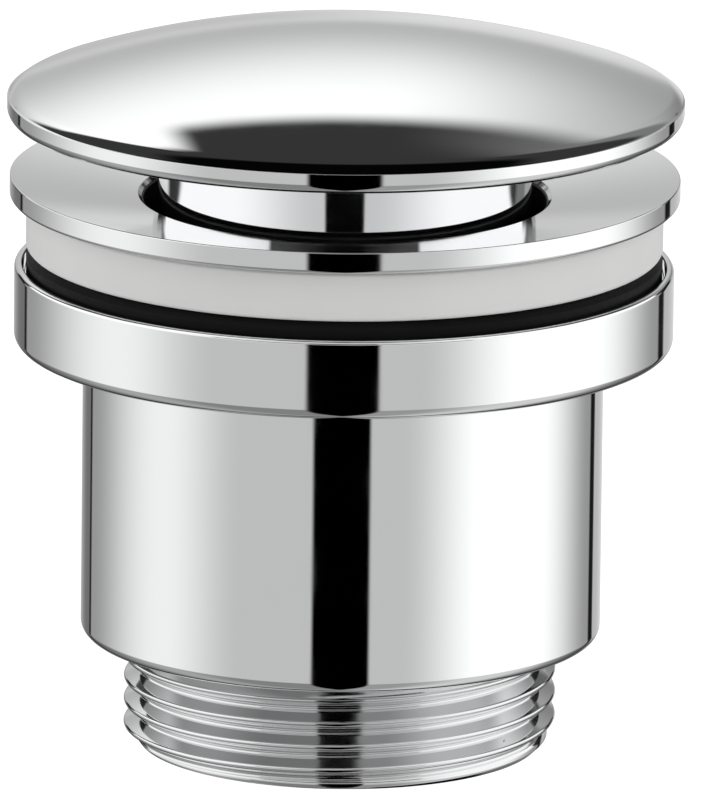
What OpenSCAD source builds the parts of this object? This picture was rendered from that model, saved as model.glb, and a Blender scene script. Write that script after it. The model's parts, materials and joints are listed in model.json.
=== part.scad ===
// Pop up basin waste: a domed plug that is pushed to close and pushed again to open.
// The outlet end stands on Z = 0, and the axis of the drain is the Z axis.
// It is drawn open, with the two clamping seals drawn together.

/* [Outlet] */
// Outside diameter of the outlet thread, 1 1/4 inch pipe size
outlet_d = 41.91; // [40:0.01:46]
// Bore of the outlet
outlet_bore_d = 35.5; // [32:0.1:36.5]
// Length of the outlet thread below the cup
outlet_l = 10.9; // [8:0.1:18]
// Chamfer at the end of the outlet thread
outlet_chamfer = 1.5; // [0.5:0.1:1.6]

/* [Lower body] */
// Wall of the cup round the tail's thread
cup_wall = 4.2; // [3:0.1:5]
// Length of the cup between the outlet and the collar
cup_l = 28.7; // [26:0.1:36]
// Thickness of the cup's floor
cup_floor_t = 4; // [2.5:0.1:5]
// Rounding at the foot of the cup
cup_round = 1; // [0.5:0.1:3]
// Outside diameter of the collar
collar_d = 63.8; // [63:0.1:70]
// Height of the collar
collar_h = 7.8; // [6:0.1:12]
// Rounding at the foot of the collar
collar_round = 1; // [0.5:0.1:3]
// Wall of the collar round the lower seal
collar_wall = 0.8; // [0.6:0.1:1]
// Depth of the recess for the lower seal
recess_depth = 3.6; // [2.5:0.1:4.4]

/* [Seals] */
// Thickness of the slip ring under the lower seal
slip_ring_t = 0.6; // [0.4:0.1:1]
// Room between the lower seal and the collar's wall
lower_seal_room = 0.35; // [0.2:0.05:1]
// Thickness of the lower seal
lower_seal_t = 4.5; // [4:0.1:8]
// Bevel round the top of the lower seal
lower_seal_bevel = 0.7; // [0.2:0.1:1.5]
// Step from the lower seal's edge out to the upper seal's edge
upper_seal_step = 0.05; // [-2:0.05:0.4]
// Thickness of the upper seal at its outer edge
upper_seal_t = 5; // [4:0.1:8]

/* [Upper body] */
// Outside diameter of the flange
flange_d = 64.8; // [63:0.1:70]
// Height of the flange's edge
flange_t = 2.1; // [1.6:0.1:3]
// Rounding under the flange's edge
flange_round = 0.6; // [0.5:0.1:1.4]
// Fall of the dished face from the edge to the hole
dish_drop = 2; // [1:0.1:2.5]
// Gap between the sleeve and the flange's hole
hole_gap = 1.45; // [1:0.05:2]
// Bevel round the hole
hole_bevel = 0.5; // [0.2:0.1:0.8]
// Wall of the tail round the throat
throat_wall = 1.45; // [1.2:0.05:2]
// Bore of the tail below the throat
tail_bore_d = 35.2; // [34:0.1:36.4]
// Length of the tail below the flange
tail_l = 37; // [36:0.1:38]
// Chamfer at the end of the tail
tail_chamfer = 1; // [0.5:0.1:1.5]
// Number of overflow windows in the tail
window_n = 4; // [2:1:6]
// Width of an overflow window
window_w = 9; // [5:0.1:12]
// Height of an overflow window
window_h = 5; // [4:0.1:6]
// Depth of the windows' middle below the flange
window_drop = 13.5; // [12.5:0.1:15]
// Number of spokes that carry the hub
spoke_n = 4; // [3:1:6]
// Width of a spoke
spoke_w = 3.5; // [2.5:0.1:5]
// Diameter of the hub
hub_d = 15; // [13:0.1:18]
// Height of the hub
hub_h = 6; // [4:0.1:6.5]

/* [Plug] */
// Diameter of the dome cap
cap_d = 65.4; // [62:0.1:72]
// Height of the dome cap from its lower edge to its top
cap_h = 8.3; // [7.5:0.1:12]
// Gap between the open cap and the flange's edge
cap_gap = 5.7; // [5.3:0.1:6.5]
// Height of the rim from the cap's lower edge to the crisp edge of the dome
rim_h = 2.3; // [2:0.1:3]
// Rounding under the rim
rim_round = 0.9; // [0.8:0.1:1.9]
// Wall of the dome
cap_wall = 1.5; // [1:0.1:2]
// Width of the plain lip inside the round
cap_lip_w = 2.75; // [1:0.05:3]
// Depth of the insert's face inside the lip
insert_recess = 0.3; // [0.1:0.1:1]
// Thickness of the insert's disc
insert_t = 1.8; // [1.2:0.1:2.5]
// Number of ribs on the insert
rib_n = 8; // [4:1:12]
// Thickness of a rib
rib_t = 1.4; // [1:0.1:2]
// Diameter of the boss in the insert
boss_d = 13; // [10:0.1:16]
// Outside diameter of the sleeve
sleeve_d = 36.1; // [34:0.1:37]
// Wall of the sleeve
sleeve_wall = 1.7; // [1.2:0.1:2.5]
// Length of the sleeve
sleeve_l = 10.5; // [9:0.1:12]
// Thickness of the sleeve's top
sleeve_top_t = 1.8; // [1.2:0.1:2]
// Lap of the plug seal beyond the flange's hole
plug_seal_lap = 1.3; // [0.8:0.1:2]
// Depth of the plug seal's groove in the sleeve
groove_depth = 0.8; // [0.4:0.1:1]
// Thickness of the sleeve's lip above the groove
groove_lip_t = 0.5; // [0.4:0.1:0.8]
// Diameter of the stud
stud_d = 6; // [5:0.1:6.5]
// Length of the stud in the plunger
stud_depth = 6; // [4:0.1:8]

/* [Cartridge] */
// Travel of the plug from open to fully pressed
stroke = 5; // [4:0.1:5]
// Rise of the plug from fully pressed to closed
latch_rise = 1; // [0.5:0.1:1.5]
// Turn of the cam ring in one press, degrees
press_turn = 60; // [45:15:60]
// Lead between the track's two walls, degrees
index_lead = 3; // [0:3:3]
// Diameter of the plunger
plunger_d = 10.4; // [9:0.1:11]
// Width across the plunger's flats
flat_w = 7.2; // [6.8:0.1:8]
// Diameter of the plunger's flatted part
flat_d = 9; // [8.5:0.1:9]
// Diameter of the follower pin
pin_d = 2; // [1.6:0.1:2.2]
// Reach of the pin beyond the plunger
pin_reach = 2; // [1.5:0.1:2.2]
// Length of the plunger below the pin
plunger_foot = 3; // [2:0.1:3.5]
// Diameter of the cam ring
cam_d = 17; // [16.6:0.1:18]
// Wall of the cam ring above and below the track
track_wall = 1.1; // [0.8:0.1:1.5]
// Thickness of the thrust washer
thrust_t = 0.5; // [0.3:0.1:0.8]
// Wall of the housing
housing_wall = 1.6; // [1.2:0.1:1.8]
// Thickness of the housing's floor
housing_floor_t = 2; // [1.5:0.1:3]
// Diameter of the spring's chamber
chamber_d = 12.8; // [11.5:0.1:13.4]
// Thickness of the cartridge cap
cartridge_cap_t = 2.2; // [1.5:0.1:2.6]
// Wall of the cartridge cap's skirt
cartridge_cap_wall = 1.2; // [1:0.1:1.5]
// Length of the cartridge cap's skirt
cartridge_cap_l = 4; // [2:0.1:6]
// Number of grip flutes round the cartridge cap
flute_n = 16; // [8:1:24]
// Diameter of the threaded spigot in the hub
spigot_d = 8; // [7:0.1:8.5]
// Thickness of the hub washer
hub_washer_t = 1; // [0.6:0.1:1.6]
// Diameter of the hub washer
hub_washer_d = 16; // [15:0.1:18]
// Thickness of the lock nut
nut_t = 4.5; // [3:0.1:5]
// Width across the lock nut's flats
nut_w = 13; // [12:0.1:14]
// Length of the spigot beyond the lock nut
spigot_end = 0.8; // [0.2:0.1:1.2]

/* [Spring] */
// Length of the open spring
spring_l = 11; // [10:0.1:12]
// Mean diameter of the spring
spring_d = 8.6; // [8:0.1:9]
// Diameter of the spring's wire
wire_d = 0.9; // [0.7:0.1:1]
// Turns of the spring, its two closed ends included
spring_turns = 5.5; // [4.5:0.5:5.5]
// Thickness of the spring's seat
spring_seat_t = 0.6; // [0.4:0.1:1]

/* [Fits] */
// Clearance of threads and pressed pieces, a side
thread_clear = 0.05; // [0.02:0.01:0.1]
// Clearance between the seals and what turns on them
seal_clear = 0.1; // [0.05:0.01:0.2]
// Clearance of turning and sliding pieces, a side
run_clear = 0.1; // [0.05:0.01:0.15]
// Clearance of the follower pin in its track
track_clear = 0.15; // [0.1:0.01:0.25]
// Clearance of the seals round the tail
tail_clear = 0.4; // [0.2:0.1:0.8]
// Clearance left at the end of the stroke
stop_clear = 0.4; // [0.3:0.1:0.6]
// Clearance left under the plug seal when fully pressed
seat_clear = 0.15; // [0.1:0.01:0.3]

/* [Hidden] */
$fn = 96;

// Cuts run past the faces that they open by this much
past = 1;

// Radii of the round pieces
outlet_r = outlet_d / 2;
collar_r = collar_d / 2;
recess_r = collar_r - collar_wall;
lower_seal_r = recess_r - lower_seal_room;
upper_seal_r = lower_seal_r + upper_seal_step;
sleeve_r = sleeve_d / 2;
hole_r = sleeve_r + hole_gap;
plug_seal_r = hole_r + plug_seal_lap;
tail_r = hole_r + throat_wall;
tail_bore_r = tail_bore_d / 2;
cup_bore_r = tail_r + thread_clear;
cup_r = cup_bore_r + cup_wall;
seal_bore_r = tail_r + tail_clear;
flange_r = flange_d / 2;
cap_r = cap_d / 2;
plunger_r = plunger_d / 2;
pin_r = pin_d / 2;
cam_r = cam_d / 2;
cam_bore_r = plunger_r + run_clear;
track_r = plunger_r + pin_reach + track_clear;
housing_bore_r = cam_r + run_clear;
housing_r = housing_bore_r + housing_wall;
spigot_r = spigot_d / 2;

// Levels of the lower body and the seals
cup_z = outlet_l;
cup_floor_z = cup_z + cup_floor_t;
collar_z = cup_z + cup_l;
collar_top_z = collar_z + collar_h;
recess_z = collar_top_z - recess_depth;
lower_seal_z = recess_z + slip_ring_t;
lower_seal_top_z = lower_seal_z + lower_seal_t;
upper_seal_z = lower_seal_top_z + seal_clear;

// Levels of the flange, whose underside keeps the slope of its dished face
under_z = upper_seal_z + upper_seal_t + seal_clear;
edge_z = under_z + flange_t;
hole_z = edge_z - dish_drop;
dish_slope = dish_drop / (flange_r - hole_r);
under_edge_r = flange_r - flange_round;
tail_end_z = under_z - tail_l;
window_z = under_z - window_drop;

// Levels of the plug, which is drawn open
cap_z = edge_z + cap_gap;
cap_top_z = cap_z + cap_h;
insert_z = cap_z + insert_recess;
sleeve_top_z = insert_z;
sleeve_under_z = sleeve_top_z - sleeve_top_t;
sleeve_end_z = sleeve_top_z - sleeve_l;
throat_z = sleeve_end_z - stroke - stop_clear;
plug_seal_z = hole_z + dish_slope * (plug_seal_r - hole_r) + stroke + seat_clear;
plug_seal_top_z = sleeve_top_z - groove_lip_t;

// The dome is one sphere that ends in a crisp edge at the top of the rim
dome_rise = cap_h - rim_h;
dome_r = (cap_r ^ 2 + dome_rise ^ 2) / (2 * dome_rise);
dome_mid_z = cap_top_z - dome_r;
cavity_r = cap_r - rim_round - cap_lip_w;

// Levels of the cartridge, which hangs from the end of the stroke downwards
cartridge_top_z = sleeve_under_z - stroke - stop_clear;
cartridge_under_z = cartridge_top_z - cartridge_cap_t;
track_rise = stroke / press_turn;
track_steep = stroke / (press_turn * PI / 180 * cam_bore_r);
track_half = (pin_r + track_clear) * sqrt(1 + track_steep ^ 2) + index_lead * track_rise;
cam_h = stroke + 2 * (track_half + track_wall);
cam_top_z = cartridge_under_z - run_clear;
cam_z = cam_top_z - cam_h;
pin_z = cam_top_z - track_wall - track_half;
thrust_z = cam_z - run_clear - thrust_t;
plunger_z = pin_z - pin_r - plunger_foot;
spring_top_z = plunger_z - run_clear;
spring_z = spring_top_z - spring_l;
housing_floor_z = spring_z - spring_seat_t;
hub_top_z = housing_floor_z - housing_floor_t;
hub_z = hub_top_z - hub_h;
nut_z = hub_z - hub_washer_t - nut_t;
spigot_z = nut_z - spigot_end;

// Shapes that repeat

// Profile of a ring: from radius r0 to r1 and from level z0 to z1
module ring_profile(r0, r1, z0, z1) {
    translate([r0, z0])
        square([r1 - r0, z1 - z0]);
}

// Profile of a turned solid whose lower outer corner is rounded
module rounded_foot_profile(r, z0, z1, round) {
    ring_profile(0, r - round, z0, z1);
    ring_profile(0, r, z0 + round, z1);
    translate([r - round, z0 + round])
        circle(round);
}

// Profile of a turned solid whose lower outer corner is chamfered
module chamfered_foot_profile(r, z0, z1, chamfer) {
    polygon([[0, z0], [r - chamfer, z0], [r, z0 + chamfer], [r, z1], [0, z1]]);
}

// A plain turned ring
module ring(r0, r1, z0, z1) {
    rotate_extrude()
        ring_profile(r0, r1, z0, z1);
}

// A round bar with two flats, as wide as flats across them
module flatted_bar(d, flats, h) {
    linear_extrude(h)
        intersection() {
            circle(d = d);
            square([d + past, flats], center = true);
        }
}

// Solid of the dome's sphere, taken in from its outside by wall
module dome_solid(wall) {
    translate([0, 0, dome_mid_z])
        sphere(dome_r - wall);
}

// Lower body

module lower_body() {
    color("silver")
        rotate_extrude()
            difference() {
                union() {
                    chamfered_foot_profile(outlet_r, 0, cup_floor_z, outlet_chamfer);
                    rounded_foot_profile(cup_r, cup_z, collar_top_z, cup_round);
                    rounded_foot_profile(collar_r, collar_z, collar_top_z, collar_round);
                }
                ring_profile(0, outlet_bore_d / 2, -past, collar_top_z);
                ring_profile(0, cup_bore_r, cup_floor_z, collar_top_z);
                ring_profile(0, recess_r, recess_z, collar_top_z + past);
            }
}

module slip_ring() {
    color("gainsboro")
        ring(seal_bore_r, lower_seal_r, recess_z, lower_seal_z);
}

// Seals

module lower_seal() {
    bevel = lower_seal_bevel;
    color("black")
        rotate_extrude()
            polygon([
                [seal_bore_r, lower_seal_z],
                [lower_seal_r, lower_seal_z],
                [lower_seal_r, lower_seal_top_z - bevel],
                [lower_seal_r - bevel, lower_seal_top_z],
                [seal_bore_r, lower_seal_top_z]
            ]);
}

// The upper seal's top is a cone that lies along the underside of the flange
module upper_seal() {
    top_z = under_z - seal_clear;
    color("white")
        rotate_extrude()
            polygon([
                [seal_bore_r, upper_seal_z],
                [upper_seal_r, upper_seal_z],
                [upper_seal_r, top_z - dish_slope * (under_edge_r - upper_seal_r)],
                [seal_bore_r, top_z - dish_slope * (under_edge_r - seal_bore_r)]
            ]);
}

// Upper body

module flange_profile() {
    polygon([
        [0, hole_z - dish_slope * hole_r],
        [flange_r, edge_z],
        [flange_r, under_z + flange_round],
        [under_edge_r, under_z],
        [0, under_z - dish_slope * under_edge_r]
    ]);
    intersection() {
        translate([under_edge_r, under_z + flange_round])
            circle(flange_round);
        ring_profile(under_edge_r, flange_r, under_z, under_z + flange_round);
    }
}

// Waterway through the upper body: bevelled hole, throat, seat and tail bore
module waterway_profile() {
    polygon([
        [0, tail_end_z - past],
        [tail_bore_r, tail_end_z - past],
        [tail_bore_r, throat_z - (hole_r - tail_bore_r)],
        [hole_r, throat_z],
        [hole_r, hole_z - hole_bevel],
        [hole_r + hole_bevel, hole_z + dish_slope * hole_bevel],
        [hole_r + hole_bevel, edge_z + past],
        [0, edge_z + past]
    ]);
}

module overflow_windows() {
    flat_l = window_w - window_h;
    for (i = [0 : window_n - 1])
        rotate([0, 0, i * 360 / window_n])
            translate([0, 0, window_z])
                rotate([90, 0, 90])
                    linear_extrude(tail_r + past) {
                        square([flat_l, window_h], center = true);
                        for (side = [-1, 1])
                            translate([side * flat_l / 2, 0])
                                circle(d = window_h);
                    }
}

// Hub on spokes, which run into the wall of the tail
module spider() {
    translate([0, 0, hub_z]) {
        cylinder(d = hub_d, h = hub_h);
        intersection() {
            cylinder(r = (tail_bore_r + tail_r) / 2, h = hub_h);
            for (i = [0 : spoke_n - 1])
                rotate([0, 0, (i + 0.5) * 360 / spoke_n])
                    translate([0, -spoke_w / 2, 0])
                        cube([tail_r, spoke_w, hub_h]);
        }
    }
}

module upper_body() {
    color("silver")
        difference() {
            union() {
                difference() {
                    rotate_extrude()
                        difference() {
                            union() {
                                flange_profile();
                                chamfered_foot_profile(tail_r, tail_end_z, hole_z, tail_chamfer);
                            }
                            waterway_profile();
                        }
                    overflow_windows();
                }
                spider();
            }
            translate([0, 0, hub_z - past])
                cylinder(r = spigot_r + thread_clear, h = hub_h + 2 * past);
        }
}

// Cartridge

module cartridge_housing() {
    color("ivory")
        rotate_extrude()
            difference() {
                union() {
                    ring_profile(0, housing_r, hub_top_z, cartridge_under_z);
                    ring_profile(0, spigot_r, spigot_z, cartridge_under_z);
                }
                ring_profile(0, chamber_d / 2, housing_floor_z, cartridge_under_z);
                ring_profile(0, housing_bore_r, thrust_z, cartridge_under_z + past);
            }
}

module cartridge_cap() {
    cap_bore_r = housing_r + thread_clear;
    skirt_r = cap_bore_r + cartridge_cap_wall;
    skirt_z = cartridge_under_z - cartridge_cap_l;
    color("ivory")
        difference() {
            translate([0, 0, skirt_z])
                cylinder(r = skirt_r, h = cartridge_top_z - skirt_z);
            translate([0, 0, skirt_z - past])
                cylinder(r = cap_bore_r, h = cartridge_cap_l + past);
            translate([0, 0, cartridge_under_z - past])
                flatted_bar(flat_d + 2 * run_clear, flat_w + 2 * run_clear, cartridge_cap_t + 2 * past);
            for (i = [0 : flute_n - 1])
                rotate([0, 0, i * 360 / flute_n])
                    translate([skirt_r + cartridge_cap_wall / 2, 0, skirt_z - past])
                        cylinder(r = cartridge_cap_wall, h = cartridge_top_z - skirt_z + 2 * past);
        }
}

module hub_washer() {
    color("silver")
        ring(spigot_r + thread_clear, hub_washer_d / 2, hub_z - hub_washer_t, hub_z);
}

module lock_nut() {
    color("goldenrod")
        translate([0, 0, nut_z])
            difference() {
                cylinder(d = nut_w / cos(30), h = nut_t, $fn = 6);
                translate([0, 0, -past])
                    cylinder(r = spigot_r + thread_clear, h = nut_t + 2 * past);
            }
}

module spring_seat() {
    color("silver")
        translate([0, 0, housing_floor_z])
            cylinder(r = chamber_d / 2 - run_clear, h = spring_seat_t);
}

module thrust_washer() {
    color("white")
        ring(cam_bore_r, cam_r, thrust_z, thrust_z + thrust_t);
}

// Return spring, a coil with one closed turn at each end

coil_steps = 18;
wire_sides = 8;
coil_rise = spring_l - wire_d;

// Height of the wire's middle after so many turns
function coil_z(turn) =
    let (open_rise = (coil_rise - 2 * wire_d) / (spring_turns - 2))
    turn < 1 ? wire_d * turn
    : turn > spring_turns - 1 ? coil_rise - wire_d * (spring_turns - turn)
    : wire_d + open_rise * (turn - 1);

function wire_point(turn, side) =
    let (around = turn * 360, r = spring_d / 2 + wire_d / 2 * cos(side))
    [r * cos(around), r * sin(around), spring_z + wire_d / 2 * (1 + sin(side)) + coil_z(turn)];

module return_spring() {
    last = round(spring_turns * coil_steps);
    points = [
        for (i = [0 : last])
            for (j = [0 : wire_sides - 1])
                wire_point(i / coil_steps, j * 360 / wire_sides)
    ];
    walls = [
        for (i = [0 : last - 1])
            for (j = [0 : wire_sides - 1])
                let (a = i * wire_sides + j, b = i * wire_sides + (j + 1) % wire_sides)
                each [[a, b, b + wire_sides], [a, b + wire_sides, a + wire_sides]]
    ];
    first_end = [for (j = [wire_sides - 1 : -1 : 0]) j];
    last_end = [for (j = [0 : wire_sides - 1]) last * wire_sides + j];
    color("silver")
        polyhedron(points, concat(walls, [first_end, last_end]));
}

// Cam ring

track_steps = 120;

// Turn of the ring in one full cycle of two presses, degrees
cycle_turn = 180;

// Fall of the track below its open notch in one cycle:
// down to fully pressed, up to the closed notch, down again and back up to open
function track_fall(angle) =
    let (
        a = (angle + 2 * cycle_turn) % cycle_turn,
        closed_turn = cycle_turn / 2,
        release_turn = cycle_turn - press_turn
    )
    a < press_turn ? -a * track_rise
    : a < closed_turn ? -stroke + latch_rise * (a - press_turn) / (closed_turn - press_turn)
    : a < release_turn ? -stroke + latch_rise * (release_turn - a) / (release_turn - closed_turn)
    : -stroke + (a - release_turn) * track_rise;

// The walls lead each other a little, so that the ring is driven one way only
function track_section(angle) =
    let (
        inner = cam_bore_r - past,
        low = pin_z - track_half + track_fall(angle - index_lead),
        high = pin_z + track_half + track_fall(angle + index_lead),
        x = cos(angle),
        y = sin(angle)
    )
    [
        [inner * x, inner * y, low],
        [track_r * x, track_r * y, low],
        [track_r * x, track_r * y, high],
        [inner * x, inner * y, high]
    ];

module zigzag_track() {
    corner_n = len(track_section(0));
    points = [for (i = [0 : track_steps - 1]) each track_section(i * 360 / track_steps)];
    faces = [
        for (i = [0 : track_steps - 1])
            for (j = [0 : corner_n - 1])
                let (
                    next = (i + 1) % track_steps,
                    k = (j + 1) % corner_n,
                    a = i * corner_n + j,
                    b = i * corner_n + k,
                    c = next * corner_n + k,
                    d = next * corner_n + j
                )
                each [[a, b, c], [a, c, d]]
    ];
    polyhedron(points, faces);
}

module cam_ring() {
    color("dimgray")
        difference() {
            ring(cam_bore_r, cam_r, cam_z, cam_top_z);
            zigzag_track();
        }
}

// Plug

module plunger() {
    color("goldenrod")
        difference() {
            union() {
                translate([0, 0, plunger_z])
                    cylinder(d = plunger_d, h = cam_top_z - plunger_z);
                translate([0, 0, plunger_z])
                    flatted_bar(flat_d, flat_w, sleeve_under_z - plunger_z);
            }
            translate([0, 0, pin_z])
                rotate([0, 90, 0])
                    cylinder(d = pin_d, h = plunger_d + past, center = true);
            translate([0, 0, sleeve_under_z - stud_depth])
                cylinder(d = stud_d, h = stud_depth + past);
        }
}

module follower_pin() {
    color("silver")
        translate([0, 0, pin_z])
            rotate([0, 90, 0])
                cylinder(d = pin_d, h = plunger_d + 2 * pin_reach, center = true);
}

module plug_sleeve() {
    groove_r = sleeve_r - groove_depth;
    color("silver")
        rotate_extrude()
            difference() {
                ring_profile(stud_d / 2, sleeve_r, sleeve_end_z, sleeve_top_z);
                ring_profile(0, sleeve_r - sleeve_wall, sleeve_end_z - past, sleeve_under_z);
                ring_profile(groove_r, sleeve_r + past, plug_seal_z, plug_seal_top_z);
            }
}

module plug_seal() {
    color("black")
        ring(sleeve_r - groove_depth, plug_seal_r, plug_seal_z, plug_seal_top_z);
}

module cap_stud() {
    stud_z = sleeve_under_z - stud_depth;
    color("silver")
        translate([0, 0, stud_z])
            cylinder(d = stud_d, h = insert_z + insert_t - stud_z);
}

// Disc with a boss and ribs that fill the hollow of the dome
module cap_insert() {
    insert_r = cavity_r - thread_clear;
    color("silver")
        difference() {
            intersection() {
                dome_solid(cap_wall + thread_clear);
                translate([0, 0, insert_z])
                    union() {
                        cylinder(r = insert_r, h = insert_t);
                        cylinder(d = boss_d, h = cap_h);
                        for (i = [0 : rib_n - 1])
                            rotate([0, 0, i * 360 / rib_n])
                                translate([0, -rib_t / 2, 0])
                                    cube([insert_r - rib_t, rib_t, cap_h]);
                    }
            }
            translate([0, 0, insert_z - past])
                cylinder(d = stud_d, h = past + insert_t);
        }
}

module dome_cap() {
    color("silver")
        difference() {
            intersection() {
                dome_solid(0);
                rotate_extrude()
                    rounded_foot_profile(cap_r, cap_z, cap_top_z, rim_round);
            }
            intersection() {
                dome_solid(cap_wall);
                translate([0, 0, cap_z - past])
                    cylinder(r = cavity_r, h = cap_h + past);
            }
        }
}

lower_body();
slip_ring();
lower_seal();
upper_seal();
upper_body();
cartridge_housing();
cartridge_cap();
hub_washer();
lock_nut();
spring_seat();
return_spring();
thrust_washer();
cam_ring();
plunger();
follower_pin();
plug_sleeve();
plug_seal();
cap_stud();
cap_insert();
dome_cap();
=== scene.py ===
# %% [markdown]
# # A push to open basin waste
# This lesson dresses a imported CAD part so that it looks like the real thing. The
# part is the drain fitting in the floor of a wash basin: a domed plug, a dished
# flange, two clamping seals and a chromed cup with a pipe thread. The CAD keeps the
# sizes and the motion. Here we add what a photo shows: true threads, softened
# edges, and finishes that react to light.

# %% Load the frame
import json
import math

import bmesh
import bpy
from mathutils import Matrix, Vector


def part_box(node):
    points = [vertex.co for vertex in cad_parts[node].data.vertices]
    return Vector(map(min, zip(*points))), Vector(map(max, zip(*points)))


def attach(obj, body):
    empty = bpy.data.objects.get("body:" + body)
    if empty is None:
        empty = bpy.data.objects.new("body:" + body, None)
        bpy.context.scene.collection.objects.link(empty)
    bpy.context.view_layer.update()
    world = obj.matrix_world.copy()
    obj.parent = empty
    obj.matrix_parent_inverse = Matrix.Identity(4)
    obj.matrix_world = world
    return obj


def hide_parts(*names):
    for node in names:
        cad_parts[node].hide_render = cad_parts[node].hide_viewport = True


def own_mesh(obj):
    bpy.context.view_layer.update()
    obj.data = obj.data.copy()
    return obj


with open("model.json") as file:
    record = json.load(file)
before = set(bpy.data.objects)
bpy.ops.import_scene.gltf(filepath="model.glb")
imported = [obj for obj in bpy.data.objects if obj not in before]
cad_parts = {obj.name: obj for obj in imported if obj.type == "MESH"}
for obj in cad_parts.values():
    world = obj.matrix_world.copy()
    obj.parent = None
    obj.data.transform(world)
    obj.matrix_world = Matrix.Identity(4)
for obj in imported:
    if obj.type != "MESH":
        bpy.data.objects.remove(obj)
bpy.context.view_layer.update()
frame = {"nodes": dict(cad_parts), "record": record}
nodes = frame["nodes"]
MM = 0.001

# %% [markdown]
# Nearly every piece here was turned on a lathe, so its whole shape is one profile
# spun round the drain's axis. Chrome shows every flaw in a surface, so we do not
# leave corners to chance: each corner of a profile gets its own rounding, and a
# support point close beside it keeps the flats truly flat. A corner with no
# rounding is kept as a crisp edge.

# %% Profiles with rounded corners
def soften(corners, closed=False, steps=9, hold=0.03):
    """Corners are (radius, height, rounding) in mm; gives (radius, height, crisp)."""
    points = []
    count = len(corners)
    for i, (r, z, rounding) in enumerate(corners):
        here = Vector((r, z))
        ends_here = not closed and i in (0, count - 1)
        if ends_here or rounding == 0:
            points.append((r, z, not ends_here))
            continue
        back = Vector(corners[i - 1][:2]) - here
        ahead = Vector(corners[(i + 1) % count][:2]) - here
        room = min(back.length, ahead.length)
        back.normalize()
        ahead.normalize()
        half = back.angle(ahead) / 2
        reach = rounding / math.tan(half)
        middle = here + (back + ahead).normalized() * (rounding / math.sin(half))
        start = here + back * reach - middle
        turn = math.pi - 2 * half
        if start.x * back.y - start.y * back.x > 0:
            turn = -turn
        pieces = max(3, round(steps * abs(turn) / (math.pi / 2)))
        if reach + hold < room:
            points.append((*(here + back * (reach + hold)), False))
        for k in range(pieces + 1):
            a = turn * k / pieces
            c, s = math.cos(a), math.sin(a)
            points.append((middle.x + start.x * c - start.y * s,
                           middle.y + start.x * s + start.y * c, False))
        if reach + hold < room:
            points.append((*(here + ahead * (reach + hold)), False))
    return points


def arc(middle_r, middle_z, radius, first, last, pieces):
    """Points on an arc of a profile, between two angles in degrees."""
    angles = [math.radians(first + (last - first) * k / pieces) for k in range(pieces + 1)]
    return [(middle_r + radius * math.cos(a), middle_z + radius * math.sin(a), False) for a in angles]


def lathe(name, points, closed=False, around=240):
    """A mesh spun from a profile that runs up the outside and down the bore."""
    verts, rings, crisp = [], [], []
    for r, z, sharp in points:
        pole = r < 1e-6
        rings.append([len(verts) + (0 if pole else j) for j in range(around)])
        crisp += [sharp] * (1 if pole else around)
        for j in range(1 if pole else around):
            a = 2 * math.pi * j / around
            verts.append((r * math.cos(a) * MM, r * math.sin(a) * MM, z * MM))
    faces = []
    pairs = list(zip(rings, rings[1:])) + ([(rings[-1], rings[0])] if closed else [])
    for low, high in pairs:
        for j in range(around):
            k = (j + 1) % around
            face = [low[j], low[k], high[k], high[j]]
            faces.append([v for n, v in enumerate(face) if v not in face[:n]])
    mesh = bpy.data.meshes.new(name)
    mesh.from_pydata(verts, [], faces)
    mesh.shade_smooth()
    level = {}
    for number, ring in enumerate(rings):
        for v in ring:
            level[v] = number
    for edge in mesh.edges:
        a, b = edge.vertices
        if level[a] == level[b] and crisp[a]:
            edge.use_edge_sharp = True
    return mesh


print("profile tools ready")

# %% [markdown]
# A pipe thread is a groove that climbs by one pitch a turn. The outlet carries the
# common inch and a quarter pipe thread: 11 turns an inch, flanks at 55 degrees, and
# crests and roots that are rounded by the same radius. The mesh rows follow the
# groove itself, so the crest is one unbroken line, and where a turn meets the end
# of the thread its rows simply run together.

# %% Threads
PITCH = 25.4 / 11
FLANK = math.radians(62.5)
ROUND = 0.137329 * PITCH
DEPTH = 0.640327 * PITCH


def thread_depth(turns):
    """Depth below the crest, in mm, so many turns along the axis from a crest."""
    away = abs((turns + 0.5) % 1 - 0.5) * PITCH
    bend = ROUND * math.sin(FLANK)
    if away < bend:
        return ROUND - math.sqrt(ROUND ** 2 - away ** 2)
    if away > PITCH / 2 - bend:
        return DEPTH - ROUND + math.sqrt(max(0, ROUND ** 2 - (PITCH / 2 - away) ** 2))
    return ROUND * (1 - math.cos(FLANK)) + (away - bend) * math.tan(FLANK)


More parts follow.
